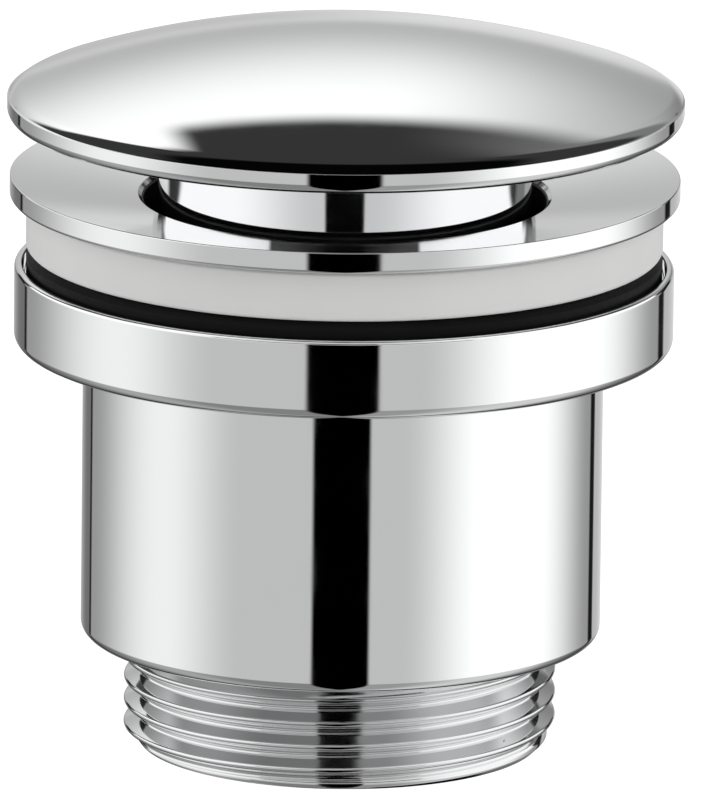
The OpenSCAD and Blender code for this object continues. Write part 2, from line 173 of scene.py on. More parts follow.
def thread(name, crest_r, low, high, limit, phase=0.0, around=240):
    """The outside of a threaded tube from low to high; limit(z) caps its radius."""
    arc_turns = [ROUND / PITCH * math.sin(FLANK * k / 4) for k in range(-4, 5)]
    in_turn = sorted([t % 1 for t in arc_turns] + [(0.5 + t) % 1 for t in arc_turns])
    rows_a_turn = len(in_turn)
    first = math.floor(low / PITCH - phase) - 2
    last = math.ceil(high / PITCH - phase) + 2
    rows = [(n + t) for n in range(first, last) for t in in_turn]
    verts, faces = [], []
    for along in rows:
        for j in range(around):
            a = 2 * math.pi * j / around
            z = min(max(PITCH * (along + phase + j / around), low), high)
            r = min(crest_r - thread_depth(z / PITCH - phase - j / around), limit(z))
            verts.append((r * math.cos(a) * MM, r * math.sin(a) * MM, z * MM))
    for i in range(len(rows) - 1):
        for j in range(around):
            k, lift = (j + 1) % around, rows_a_turn if j + 1 == around else 0
            if i + 1 + lift < len(rows):
                faces.append([i * around + j, (i + lift) * around + k,
                              (i + 1 + lift) * around + k, (i + 1) * around + j])
    mesh = bpy.data.meshes.new(name)
    mesh.from_pydata(verts, [], faces)
    work = bmesh.new()
    work.from_mesh(mesh)
    bmesh.ops.remove_doubles(work, verts=work.verts, dist=2e-7)
    bmesh.ops.dissolve_degenerate(work, edges=work.edges, dist=1e-7)
    work.to_mesh(mesh)
    work.free()
    mesh.shade_smooth()
    return mesh


print("pitch %.3f mm, depth %.3f mm" % (PITCH, DEPTH))

# %% [markdown]
# A turned body is one solid on the bench, so its skin is closed here too. Turned
# parts and threads are made with the same number of points around, so that rings
# which meet can be welded. Where a thread runs out under a shoulder, its last ring is
# bridged to the shoulder's first one. Each new piece then rides on a CAD body.

# %% Putting pieces together
SEAM_ANGLE = math.radians(30)


def join(name, meshes, paints=None):
    """One closed mesh: rings that meet are welded, and two rings left open are bridged."""
    work = bmesh.new()
    for number, mesh in enumerate(meshes):
        known = len(work.faces)
        work.from_mesh(mesh)
        work.faces.ensure_lookup_table()
        for face in work.faces[known:]:
            face.material_index = paints[number] if paints else 0
    rims = {v for v in work.verts if v.is_boundary}
    bmesh.ops.remove_doubles(work, verts=list(rims), dist=1e-6)
    open_edges = [e for e in work.edges if e.is_boundary]
    if open_edges:
        for face in bmesh.ops.bridge_loops(work, edges=open_edges)["faces"]:
            face.smooth = True
    for edge in work.edges:
        if len(edge.link_faces) == 2 and all(v in rims for v in edge.verts):
            edge.smooth = edge.calc_face_angle() < SEAM_ANGLE
    whole = bpy.data.meshes.new(name)
    work.to_mesh(whole)
    work.free()
    return whole


def piece(name, mesh, body, node=None):
    """A new piece of the look: it rides on a body and may stand for a CAD node."""
    obj = bpy.data.objects.new(name, mesh)
    bpy.context.scene.collection.objects.link(obj)
    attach(obj, body)
    if node:
        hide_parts(node)
    print(name, len(mesh.vertices), "points on", body)
    return obj


print("joining tools ready")

# %% [markdown]
# The lower body is one turned brass piece: the outlet with its thread, the cup that
# takes the tail, and the collar round the black seal. Its edges are broken by a
# small round, as polishing before plating always does, and the foot of the cup has
# a larger one that catches a soft line of light. The turned faces are numbered 0 and
# those of the thread 1, so that each can have its own finish.

# %% Lower body
OUTLET_R, OUTLET_END_R, OUTLET_BORE_R, OUTLET_TOP = 20.955, 19.455, 17.75, 10.9
CUP_R, CUP_BORE_R, CUP_FLOOR, RUN_OUT_R = 25.2, 21.0, 14.9, 21.4
COLLAR_R, COLLAR_LOW, COLLAR_TOP = 31.9, 39.6, 47.4
RECESS_R, RECESS_FLOOR = 31.1, 43.8
lower_profile = soften([
    (RUN_OUT_R, OUTLET_TOP, 0), (CUP_R, OUTLET_TOP, 1.0), (CUP_R, COLLAR_LOW, 0.25),
    (COLLAR_R, COLLAR_LOW, 1.0), (COLLAR_R, COLLAR_TOP, 0.45), (RECESS_R, COLLAR_TOP, 0.2),
    (RECESS_R, RECESS_FLOOR, 0.15), (CUP_BORE_R, RECESS_FLOOR, 0.3), (CUP_BORE_R, CUP_FLOOR, 0.3),
    (OUTLET_BORE_R, CUP_FLOOR, 0.4), (OUTLET_BORE_R, 0.0, 0.3), (OUTLET_END_R, 0.0, 0)])
outlet = thread("outlet_thread", OUTLET_R, 0.0, OUTLET_TOP,
                lambda z: min(OUTLET_R, OUTLET_END_R + max(0.0, z)), phase=0.2)
lower_parts = [lathe("lower_turned", lower_profile), outlet]
lower_mesh = join("lower_body_turned", lower_parts, paints=(0, 1))
lower_body = piece("chromed_lower_body", lower_mesh, "lower_unit", "lower_body")

# %% [markdown]
# The upper body is a second turned piece. Its flange lies in the basin and falls
# towards the hole, so that water runs in. Its tail is threaded below and plain above.
# The profile is cut into three lengths, because only the plain band in the middle has
# windows: flange, band and threaded tail are made apart and welded later. The tail's
# crests stay a hair inside the band, so that their two rings never touch.

# %% Lengths of the upper body
FLANGE_R, FLANGE_LOW, FLANGE_TOP = 32.4, 54.12, 56.2
UNDER_R, UNDER_EDGE, UNDER_LOW = 31.6, 54.05, 52.1
DISH_R, DISH_LOW, HOLE_R, HOLE_TOP = 20.0, 54.28, 19.5, 53.78
SEAT_TOP, SEAT_LOW = 46.3, 44.4
TAIL_R, TAIL_BORE_R, TAIL_LOW, TAIL_END_R = 20.95, 17.6, 17.1, 19.45
BAND_LOW, BAND_HIGH = 37.6, 44.2
TAIL_CREST_R = TAIL_R - 0.02
flange_profile = soften([
    (TAIL_R, BAND_HIGH, 0), (TAIL_R, UNDER_LOW, 0.3), (UNDER_R, UNDER_EDGE, 0.4),
    (FLANGE_R, FLANGE_LOW, 0.35), (FLANGE_R, FLANGE_TOP, 0.12), (DISH_R, DISH_LOW, 0.12),
    (HOLE_R, HOLE_TOP, 0.12), (HOLE_R, SEAT_TOP, 0.2), (TAIL_BORE_R, SEAT_LOW, 0.2),
    (TAIL_BORE_R, BAND_HIGH, 0)])
band_profile = [(TAIL_BORE_R, BAND_LOW, True), (TAIL_R, BAND_LOW, True),
                (TAIL_R, BAND_HIGH, True), (TAIL_BORE_R, BAND_HIGH, True)]
tail_profile = soften([
    (TAIL_BORE_R, BAND_LOW, 0), (TAIL_BORE_R, TAIL_LOW, 0.2), (TAIL_END_R, TAIL_LOW, 0)])
tail_thread = thread("tail_thread", TAIL_R, TAIL_LOW, BAND_LOW,
                     lambda z: min(TAIL_CREST_R, TAIL_END_R + max(0.0, z - TAIL_LOW)), phase=0.1)
print("flange profile has", len(flange_profile), "points")

# %% [markdown]
# Four windows in the band let in the water of the basin's overflow. On the bench they
# are milled with an end mill, which leaves round ends. A boolean cut does the same
# here. The band's two end faces go afterwards, since the flange and the tail close it.

# %% Overflow windows
WINDOW_HALF, WINDOW_END_R, WINDOW_Z = 2.0, 2.5, 40.6
CUT_FROM, CUT_TO, END_STEPS = 14, 24, 16
CRISP_ANGLE = math.radians(25)


def combine(mesh, tool, operation):
    """The mesh after a boolean with a tool mesh; edges over the crisp angle stay sharp."""
    pair = [bpy.data.objects.new(name, data) for name, data in (("work", mesh), ("tool", tool))]
    for obj in pair:
        bpy.context.scene.collection.objects.link(obj)
    change = pair[0].modifiers.new("combine", "BOOLEAN")
    change.operation, change.object, change.solver = operation, pair[1], "EXACT"
    bpy.context.view_layer.update()
    changed = pair[0].evaluated_get(bpy.context.evaluated_depsgraph_get())
    result = bpy.data.meshes.new_from_object(changed)
    for obj in pair:
        bpy.data.objects.remove(obj)
    result.shade_smooth()
    work = bmesh.new()
    work.from_mesh(result)
    for edge in work.edges:
        if len(edge.link_faces) == 2:
            edge.smooth = edge.calc_face_angle() < CRISP_ANGLE
    work.to_mesh(result)
    work.free()
    return result


def cut_windows(mesh):
    """Cut four round-ended windows through the plain band of the tail and open its ends."""
    cutter_mesh = bpy.data.meshes.new("window_cutter")
    work = bmesh.new()
    for quarter in range(4):
        turn = Matrix.Rotation(quarter * math.pi / 2, 4, "Z")
        ring = []
        for side in (1, -1):
            for k in range(END_STEPS + 1):
                a = math.pi * k / END_STEPS - math.pi / 2
                ring.append((side * (WINDOW_HALF + WINDOW_END_R * math.cos(a)),
                             WINDOW_Z + side * WINDOW_END_R * math.sin(a)))
        near = [work.verts.new(turn @ Vector((CUT_FROM * MM, y * MM, z * MM))) for y, z in ring]
        far = [work.verts.new(turn @ Vector((CUT_TO * MM, y * MM, z * MM))) for y, z in ring]
        work.faces.new(list(reversed(near)))
        work.faces.new(far)
        for k in range(len(ring)):
            n = (k + 1) % len(ring)
            work.faces.new([near[k], near[n], far[n], far[k]])
    bmesh.ops.recalc_face_normals(work, faces=work.faces)
    work.to_mesh(cutter_mesh)
    work.free()
    result = combine(mesh, cutter_mesh, "DIFFERENCE")
    work = bmesh.new()
    work.from_mesh(result)
    ends = [f for f in work.faces if abs(f.normal.z) > 0.99 and any(
        abs(f.calc_center_median().z - level * MM) < 1e-7 for level in (BAND_LOW, BAND_HIGH))]
    bmesh.ops.delete(work, geom=ends, context="FACES")
    work.to_mesh(result)
    work.free()
    return result


band_mesh = cut_windows(lathe("band", band_profile, True))
print("windowed band:", len(band_mesh.polygons), "faces")

# %% [markdown]
# A spider of four spokes stands in the tail and holds the hub of the click cartridge.
# It is cast with the body, so its spokes run into the bore and the hub, and their
# edges are rounded as a casting's are. A union makes all of it one skin.

# %% Spider and upper body
SPOKE_L, SPOKE_W, SPOKE_H, SPOKE_ROUND = 11.5, 3.5, 6.0, 0.5
SPOKE_MID_R, SPOKE_MID_Z = 12.4, 29.1
HUB_R, HUB_BORE_R, HUB_LOW, HUB_TOP = 7.5, 4.05, 26.1, 32.1


def spoke(turn):
    """One spoke of the spider, its edges rounded."""
    work = bmesh.new()
    bmesh.ops.create_cube(work, size=1.0)
    bmesh.ops.scale(work, vec=(SPOKE_L * MM, SPOKE_W * MM, SPOKE_H * MM), verts=work.verts)
    bmesh.ops.translate(work, vec=(SPOKE_MID_R * MM, 0, SPOKE_MID_Z * MM), verts=work.verts)
    along = [e for e in work.edges if abs(e.verts[0].co.x - e.verts[1].co.x) > MM]
    bmesh.ops.bevel(work, geom=along, offset=SPOKE_ROUND * MM, segments=4, affect="EDGES",
                    profile=0.5)
    bmesh.ops.rotate(work, cent=(0, 0, 0), matrix=Matrix.Rotation(turn, 3, "Z"),
                     verts=work.verts)
    mesh = bpy.data.meshes.new("spoke")
    work.to_mesh(mesh)
    work.free()
    return mesh


hub_profile = soften([(HUB_BORE_R, HUB_LOW, 0.3), (HUB_R, HUB_LOW, 0.4), (HUB_R, HUB_TOP, 0.4),
                      (HUB_BORE_R, HUB_TOP, 0.3)], True)
spider = lathe("hub", hub_profile, True, 96)
for quarter in range(4):
    spider = combine(spider, spoke(math.radians(45 + 90 * quarter)), "UNION")
lengths = [lathe("flange", flange_profile), band_mesh, tail_thread,
           lathe("tail_bore", tail_profile)]
upper_mesh = combine(join("upper_body_turned", lengths), spider, "UNION")
upper_body = piece("chromed_upper_body", upper_mesh, "upper_unit", "upper_body")

# %% [markdown]
# The plug's cap is a pressed dome. The dome is one wide arc; near the rim it
# bends down a little faster, breaks at a crisp edge and rolls under. Those few
# tenths of a millimetre draw the black line and the bright band at its edge.

# %% Dome cap
DOME_TOP, DOME_R, DOME_END_R = 70.2, 92.06, 31.4
SHOULDER_R, SHOULDER_TURN = 3.2, 25
CAP_R, CAP_LOW, CAP_WALL, CAVITY_R = 32.7, 61.9, 1.5, 29.05
tilt = math.degrees(math.asin(DOME_END_R / DOME_R))
dome_profile = list(reversed(arc(0, DOME_TOP - DOME_R, DOME_R, 90 - tilt, 90, 60)))
end_r, end_z, _ = dome_profile[-1]
steep = math.radians(tilt)
bend_r = end_r - SHOULDER_R * math.sin(steep)
bend_z = end_z - SHOULDER_R * math.cos(steep)
shoulder_arc = arc(bend_r, bend_z, SHOULDER_R, 90 - tilt, 90 - tilt - SHOULDER_TURN, 10)[1:]
edge_r, edge_z, _ = shoulder_arc[-1]
cavity_r = DOME_R - CAP_WALL
cavity_tilt = math.degrees(math.asin(CAVITY_R / cavity_r))
cavity = list(reversed(arc(0, DOME_TOP - DOME_R, cavity_r, 90 - cavity_tilt, 90, 40)))
cavity[-1] = (*cavity[-1][:2], True)
under = soften([
    (*cavity[-1][:2], 0), (CAVITY_R, CAP_LOW, 0.15), (CAP_R, CAP_LOW, 0.9),
    (CAP_R, edge_z - 0.05, 0.05), (edge_r, edge_z, 0)])
outside = dome_profile + shoulder_arc[:-1]
cap_profile = cavity + under[1:] + list(reversed(outside))
cap_mesh = lathe("dome_turned", cap_profile, around=288)
dome_cap = piece("chromed_dome_cap", cap_mesh, "plug_unit", "dome_cap")
print("dome edge at radius %.2f, height %.2f mm" % (edge_r, edge_z))

# %% [markdown]
# The sleeve is a turned cup that hangs upside down under the dome. It guides the plug
# in the hole of the flange, and a groove near its top holds the plug's own seal. The
# stud passes through the hole in its roof.

# %% Plug sleeve
SLEEVE_R, SLEEVE_BORE_R, STUD_HOLE_R = 18.05, 16.35, 3.0
SLEEVE_LOW, SLEEVE_ROOF, SLEEVE_TOP = 51.7, 60.4, 62.2
GROOVE_R, GROOVE_LOW, GROOVE_TOP = 17.25, 59.55, 61.7
sleeve_profile = soften([
    (SLEEVE_BORE_R, SLEEVE_LOW, 0.2), (SLEEVE_R, SLEEVE_LOW, 0.35), (SLEEVE_R, GROOVE_LOW, 0.15),
    (GROOVE_R, GROOVE_LOW, 0.05), (GROOVE_R, GROOVE_TOP, 0.05), (SLEEVE_R, GROOVE_TOP, 0.15),
    (SLEEVE_R, SLEEVE_TOP, 0.15), (STUD_HOLE_R, SLEEVE_TOP, 0.1), (STUD_HOLE_R, SLEEVE_ROOF, 0.1),
    (SLEEVE_BORE_R, SLEEVE_ROOF, 0.3)], True)
sleeve_mesh = lathe("sleeve_turned", sleeve_profile, True)
plug_sleeve = piece("chromed_plug_sleeve", sleeve_mesh, "plug_unit", "plug_sleeve")

# %% [markdown]
# The seals are cut or moulded rings. Soft rubber never has a knife edge, so their
# corners are rounded more than those of the metal. The black seal has a bevelled
# top edge, which is what draws the thin grey line round it.

# %% Seals
SEAL_BORE_R = 21.4
WHITE_R, WHITE_LOW, WHITE_EDGE_TOP, WHITE_BORE_TOP = 30.8, 49.0, 53.86, 52.38
BLACK_R, BLACK_LOW, BLACK_SIDE_TOP, BLACK_TOP, BLACK_TOP_R = 30.75, 44.4, 48.2, 48.9, 30.05
PLUG_SEAL_R, PLUG_SEAL_LOW, PLUG_SEAL_TOP = 20.8, 59.56, 61.69
white_ring = soften([
    (SEAL_BORE_R, WHITE_LOW, 0.3), (WHITE_R, WHITE_LOW, 0.5), (WHITE_R, WHITE_EDGE_TOP, 0.4),
    (SEAL_BORE_R, WHITE_BORE_TOP, 0.3)], True)
black_ring = soften([
    (SEAL_BORE_R, BLACK_LOW, 0.3), (BLACK_R, BLACK_LOW, 0.3), (BLACK_R, BLACK_SIDE_TOP, 0.25),
    (BLACK_TOP_R, BLACK_TOP, 0.3), (SEAL_BORE_R, BLACK_TOP, 0.3)], True)
plug_ring = soften([
    (GROOVE_R, PLUG_SEAL_LOW, 0.1), (PLUG_SEAL_R, PLUG_SEAL_LOW, 0.4),
    (PLUG_SEAL_R, PLUG_SEAL_TOP, 0.4), (GROOVE_R, PLUG_SEAL_TOP, 0.1)], True)
white_seal = piece("white_upper_seal", lathe("white_seal_ring", white_ring, True), "seal_unit",
                   "upper_seal")
black_seal = piece("black_lower_seal", lathe("black_seal_ring", black_ring, True), "lower_unit",
                   "lower_seal")
plug_seal = piece("black_plug_seal", lathe("plug_seal_ring", plug_ring, True), "plug_unit",
                  "plug_seal")

# %% [markdown]
# Inside the cartridge a coil spring lifts the plug. It is wound from drawn wire, and
# its end turns lie closed so that it stands square on its seat. A press shortens it
# by five of its eleven millimetres, but here the piece only rides on a body and keeps
# its length.

# %% Return spring
WIRE_R, COIL_R, COIL_TURNS, PRESS = 0.45, 4.3, 5.5, 5.0
spring_low, spring_top = (corner.z / MM for corner in map(Vector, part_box("return_spring")))
spring_h = spring_top - spring_low


def coil_height(turn):
    """Height of the wire's middle above the lowest one, with a closed turn at each end."""
    rise, closed_turn = spring_h - 2 * WIRE_R, 2 * WIRE_R
    if turn < 1:
        return closed_turn * turn
    if turn > COIL_TURNS - 1:
        return rise - closed_turn * (COIL_TURNS - turn)
    return closed_turn + (rise - 2 * closed_turn) * (turn - 1) / (COIL_TURNS - 2)


def coil(name, steps=60, sides=14):
    """The wire as one tube along the helix, its two ends cut flat."""
    count = round(COIL_TURNS * steps)
    verts, faces = [], []
    for i in range(count + 1):
        a = 2 * math.pi * i / steps
        for j in range(sides):
            b = 2 * math.pi * j / sides
            r = COIL_R + WIRE_R * math.cos(b)
            z = spring_low + WIRE_R * (1 + math.sin(b)) + coil_height(i / steps)
            verts.append((r * math.cos(a) * MM, r * math.sin(a) * MM, z * MM))
    for i in range(count):
        for j in range(sides):
            k = (j + 1) % sides
            faces.append([i * sides + j, (i + 1) * sides + j, (i + 1) * sides + k, i * sides + k])
    faces += [list(range(sides)), [count * sides + j for j in reversed(range(sides))]]
    mesh = bpy.data.meshes.new(name)
    mesh.from_pydata(verts, [], faces)
    mesh.shade_smooth()
    return mesh


return_spring = piece("coiled_return_spring", coil("spring_wire"), "upper_unit",
                      "return_spring")
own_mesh(return_spring)
print("spring from %.1f to %.1f mm" % (spring_low, spring_top))

# %% [markdown]
# Finishes come next. A little helper writes shader arithmetic, so that each effect
# reads as a formula. The shared effects are node groups: each takes a place on the
# piece and gives back a value that varies over the surface.

# %% Shader helpers
class Graph:
    """Adds nodes to one node tree and wires them up."""

    def __init__(self, tree):
        self.tree = tree

    def node(self, kind, **settings):
        made = self.tree.nodes.new(kind)
        for key, value in settings.items():
            setattr(made, key, value)
        return made

    def put(self, socket, value):
        if isinstance(value, bpy.types.NodeSocket):
            self.tree.links.new(value, socket)
        else:
            socket.default_value = value

    def math(self, operation, *values):
        made = self.node("ShaderNodeMath", operation=operation)
        for socket, value in zip(made.inputs, values):
            self.put(socket, value)
        return made.outputs[0]

    def smooth(self, value, low, high, first=0.0, last=1.0):
        made = self.node("ShaderNodeMapRange", interpolation_type="SMOOTHSTEP")
        for socket, number in zip(made.inputs, (value, low, high, first, last)):
            self.put(socket, number)
        return made.outputs[0]

    def mix(self, factor, first, last):
        return self.math("ADD", first, self.math("MULTIPLY", factor, self.math("SUBTRACT", last, first)))

    def from_axis(self, x, y):
        return self.math("SQRT", self.math("ADD", self.math("POWER", x, 2.0), self.math("POWER", y, 2.0)))

    def noise(self, vector, scale, detail=2.0):
        made = self.node("ShaderNodeTexNoise")
        self.put(made.inputs["Vector"], vector)
        self.put(made.inputs["Scale"], scale)
        self.put(made.inputs["Detail"], detail)
        return made.outputs["Fac"]


def group(name, inputs, outputs):
    """A new node group with named inputs and outputs; gives its graph and its ends."""
    tree = bpy.data.node_groups.new(name, "ShaderNodeTree")
    for label, kind, default in inputs:
        socket = tree.interface.new_socket(label, in_out="INPUT", socket_type="NodeSocket" + kind)
        if default is not None:
            socket.default_value = default
    for label, kind in outputs:
        tree.interface.new_socket(label, in_out="OUTPUT", socket_type="NodeSocket" + kind)
    graph = Graph(tree)
    return graph, graph.node("NodeGroupInput").outputs, graph.node("NodeGroupOutput").inputs


print("shader helpers ready")

# %% [markdown]
# Three effects serve all the finishes. Polish haze is the faint cloudiness that a
# polishing wheel leaves. Turning marks are the fine rings of a lathe tool: they
# change along the profile and not round it. Moulded grain is the fine unevenness
# of rubber and plastic that came out of a tool.

# %% Shared effects
g, get, give = group("Polish haze", [("Place", "Vector", None), ("Scale", "Float", 60.0)],
                     [("Haze", "Float"), ("Wave", "Float"), ("Pits", "Float")])
fine = g.noise(get["Place"], g.math("MULTIPLY", get["Scale"], 3.0), 6.0)
g.put(give["Haze"], g.smooth(fine, 0.35, 0.75))
g.put(give["Wave"], g.noise(get["Place"], get["Scale"], 1.0))
cells = g.node("ShaderNodeTexVoronoi", feature="F1")
g.put(cells.inputs["Vector"], get["Place"])
g.put(cells.inputs["Scale"], 260.0)
picked = g.math("GREATER_THAN", g.noise(get["Place"], 90.0, 3.0), 0.67)
spot = g.smooth(cells.outputs["Distance"], 0.05, 0.10, 1.0, 0.0)
g.put(give["Pits"], g.math("MULTIPLY", picked, spot))

g, get, give = group("Turning marks", [("Place", "Vector", None), ("Scale", "Float", 900.0)],
                     [("Rings", "Float")])
apart = g.node("ShaderNodeSeparateXYZ")
g.put(apart.inputs[0], get["Place"])
spun = g.node("ShaderNodeCombineXYZ")
g.put(spun.inputs[0], g.from_axis(apart.outputs[0], apart.outputs[1]))
g.put(spun.inputs[2], apart.outputs[2])
g.put(give["Rings"], g.noise(spun.outputs[0], get["Scale"], 3.0))

g, get, give = group("Moulded grain", [("Place", "Vector", None), ("Scale", "Float", 700.0)],
                     [("Grain", "Float"), ("Cloud", "Float")])
g.put(give["Grain"], g.noise(get["Place"], get["Scale"], 4.0))
g.put(give["Cloud"], g.noise(get["Place"], g.math("MULTIPLY", get["Scale"], 0.06), 3.0))
print("groups:", [tree.name for tree in bpy.data.node_groups])

# %% [markdown]
# Each finish is one material round a Principled shader. Values that are the same all
# over sit on the shader itself, and only what varies comes in through nodes: a tint
# between two colours, a change of roughness, a bump. Three helpers make that short.

# %% Material helpers
def material(name, colour, metallic, roughness):
    made = bpy.data.materials.new(name)
    made.use_nodes = True
    graph = Graph(made.node_tree)
    shader = made.node_tree.nodes["Principled BSDF"]
    shader.inputs["Base Color"].default_value = (*colour, 1)
    shader.inputs["Metallic"].default_value = metallic
    shader.inputs["Roughness"].default_value = roughness
    place = graph.node("ShaderNodeTexCoord").outputs["Object"]
    return made, graph, shader, place


def use(graph, name, place, scale):
    made = graph.node("ShaderNodeGroup", node_tree=bpy.data.node_groups[name])
    graph.put(made.inputs["Place"], place)
    made.inputs["Scale"].default_value = scale
    return made.outputs


def tint(graph, shader, factor, dark, light):
    """Let the base colour run from dark to light with a value."""
    blend = graph.node("ShaderNodeMix", data_type="RGBA")
    graph.put(blend.inputs["Factor"], factor)
    blend.inputs["A"].default_value = (*dark, 1)
    blend.inputs["B"].default_value = (*light, 1)
    graph.put(shader.inputs["Base Color"], blend.outputs["Result"])


def bump(graph, shader, height, distance, strength=1.0):
    made = graph.node("ShaderNodeBump")
    made.inputs["Strength"].default_value = strength
    made.inputs["Distance"].default_value = distance
    graph.put(made.inputs["Height"], height)
    graph.put(shader.inputs["Normal"], made.outputs["Normal"])


print("material helpers ready")

# %% [markdown]
# Chrome is a mirror with very little haze: its colour comes from what stands around
# it. The outlet's thread was never buffed, so it has a duller chrome of its own, on
# the same mesh. Polishing leaves the flange's dish a little softer and never reaches
# the bore below it with its spider, which stays dull; the hole and the bore are also
# painted dark as painted shade of the deep throat. A mask by radius and height tells the shader where.

# %% Chrome
# The darkest tint serves the plating pits and the painted shade inside the hole and the bore.
BRIGHT, UNBUFFED, PIT_AND_PAINTED_SHADE = (0.9, 0.905, 0.91), (0.8, 0.805, 0.81), (0.12, 0.12, 0.12)
HAZE_SCALE, SOFTER, BARE_ROUGHER = 55.0, 0.03, 0.35
TAIL_MASK_R, HOLE_MASK_R, HOLE_MASK_Z = 18.2 * MM, 19.65 * MM, 44 * MM
DISH_MASK_R, DISH_MASK_FULL_R, DISH_MASK_Z = 31.6 * MM, 30.8 * MM, 53.8 * MM


def chrome(name, colour, roughness, haze_roughness, wave, polish_and_shade_masks=None):
    """Plated metal; an optional mask function may give masks for a softer area and for an area painted
    dark as shade.
    """
    made, graph, shader, place = material(name, colour, 1.0, roughness)
    haze = use(graph, "Polish haze", place, HAZE_SCALE)
    dull = graph.math("MULTIPLY_ADD", haze["Haze"], haze_roughness, roughness)
    dark = haze["Pits"]
    if polish_and_shade_masks:
        soft, shaded_bore = polish_and_shade_masks(graph, place)
        dull = graph.math("MULTIPLY_ADD", soft, SOFTER, dull)
        dark = graph.math("MAXIMUM", dark, shaded_bore)
    graph.put(shader.inputs["Roughness"], graph.math("MULTIPLY_ADD", dark, BARE_ROUGHER, dull))
    # The base colour darkens at the plating pits and, as painted shade, inside the hole and the bore.
    tint(graph, shader, dark, colour, PIT_AND_PAINTED_SHADE)
    bump(graph, shader, haze["Wave"], wave)
    return made


def flange_polish_and_shade(graph, place):
    """Masks of the flange: its softer dish, and the hole and bore that polishing never reaches, rougher
    and painted dark as shade.
    """
    apart = graph.node("ShaderNodeSeparateXYZ")
    graph.put(apart.inputs[0], place)
    x, y, level = apart.outputs
    out = graph.from_axis(x, y)
    in_hole = graph.math("LESS_THAN", out, HOLE_MASK_R)
    hole = graph.math("MULTIPLY", in_hole, graph.math("GREATER_THAN", level, HOLE_MASK_Z))
    # Inside the hole and the bore the chrome is painted dark: painted shade.
    bore = graph.math("MAXIMUM", graph.math("LESS_THAN", out, TAIL_MASK_R), hole)
    on_top = graph.math("GREATER_THAN", level, DISH_MASK_Z)
    dish = graph.math("MULTIPLY", graph.smooth(out, DISH_MASK_R, DISH_MASK_FULL_R), on_top)
    return dish, bore


chrome_mirror = chrome("polished chrome", BRIGHT, 0.03, 0.03, 0.000012)
chrome_thread = chrome("thread chrome", UNBUFFED, 0.06, 0.06, 0.00002)
chrome_flange = chrome("flange chrome", BRIGHT, 0.03, 0.03, 0.000012, flange_polish_and_shade)
print("chrome:", chrome_mirror.name, "and", chrome_thread.name, "and", chrome_flange.name)

# %% [markdown]
# The seals are rubber. Rubber scatters light instead of mirroring it, and it is never
# quite even: a slow cloud in its colour and a fine grain in its skin are enough. The
# black one hardly shines, or it would mirror the soft boxes as a grey film.

# %% Rubber
white_rubber, graph, shader, place = material("white seal", (0.8, 0.8, 0.79), 0.0, 0.6)
grain = use(graph, "Moulded grain", place, 900.0)
tint(graph, shader, grain["Cloud"], (0.56, 0.56, 0.555), (0.67, 0.67, 0.665))
bump(graph, shader, grain["Grain"], 0.00004, 0.5)

black_rubber, graph, shader, place = material("black rubber", (0.006, 0.006, 0.006), 0.0, 0.4)
shader.inputs["Specular IOR Level"].default_value = 0.07
grain = use(graph, "Moulded grain", place, 1200.0)
tint(graph, shader, grain["Cloud"], (0.003, 0.003, 0.003), (0.01, 0.01, 0.01))
graph.put(shader.inputs["Roughness"], graph.math("MULTIPLY_ADD", grain["Grain"], 0.2, 0.32))
bump(graph, shader, grain["Grain"], 0.00003, 0.4)
print("rubber:", white_rubber.name, "and", black_rubber.name)

# %% [markdown]
# The pieces inside are seen only when the waste is taken apart. The click cartridge is
# moulded plastic, its rod and nut are turned from bare brass, and spring, pin and
# washers are steel. Brass and steel keep the fine rings of the tool that made them.

# %% Plastic, brass and steel
def moulded(name, dark, light):
    made, graph, shader, place = material(name, light, 0.0, 0.42)
    grain = use(graph, "Moulded grain", place, 600.0)
    tint(graph, shader, grain["Cloud"], dark, light)
    graph.put(shader.inputs["Roughness"], graph.math("MULTIPLY_ADD", grain["Grain"], 0.2, 0.34))
    bump(graph, shader, grain["Grain"], 0.00002, 0.4)
    return made


def turned(name, dark, light, roughness, scale):
    made, graph, shader, place = material(name, light, 1.0, roughness)
    rings = use(graph, "Turning marks", place, scale)
    tint(graph, shader, rings["Rings"], dark, light)
    graph.put(shader.inputs["Roughness"], graph.math("MULTIPLY_ADD", rings["Rings"], 0.2, roughness))
    bump(graph, shader, rings["Rings"], 0.00002, 0.5)
    return made


ivory = moulded("ivory plastic", (0.72, 0.7, 0.61), (0.84, 0.82, 0.74))
grey = moulded("grey plastic", (0.24, 0.25, 0.26), (0.34, 0.35, 0.36))
brass = turned("turned brass", (0.62, 0.46, 0.2), (0.8, 0.62, 0.32), 0.2, 1500.0)
steel = turned("spring steel", (0.5, 0.5, 0.51), (0.68, 0.68, 0.69), 0.22, 2200.0)
finishes = {"polished_chrome": chrome_mirror, "white_seal": white_rubber, "black_rubber": black_rubber,
            "ivory_plastic": ivory, "grey_plastic": grey, "bare_brass": brass, "spring_steel": steel}
print("finishes:", sorted(finishes))

# %% [markdown]
# Now every piece gets its finish. The new pieces take theirs by name; the lower body
# takes two, mirror first and thread second, as its faces were numbered when it was
# joined. The CAD pieces take the one that the part's record names for them, and their
# edges are kept crisp where two faces meet at more than a slight angle.

# %% Dress every piece
for made in (lower_body, dome_cap, plug_sleeve):
    made.data.materials.append(chrome_mirror)
lower_body.data.materials.append(chrome_thread)
upper_body.data.materials.append(chrome_flange)
white_seal.data.materials.append(white_rubber)
black_seal.data.materials.append(black_rubber)
plug_seal.data.materials.append(black_rubber)
return_spring.data.materials.append(steel)
for part in frame["record"]["subparts"]:
    obj = nodes[part["node"]]
    obj.data.materials.clear()
    obj.data.materials.append(finishes[part["material_slot"]])
    obj.data.polygons.foreach_set("material_index", [0] * len(obj.data.polygons))
    obj.data.shade_smooth()
    work = bmesh.new()
    work.from_mesh(obj.data)
    sharp = [len(e.link_faces) != 2 or e.calc_face_angle() > math.radians(32) for e in work.edges]
    work.free()
    for edge, crisp in zip(obj.data.edges, sharp):
        edge.use_edge_sharp = crisp

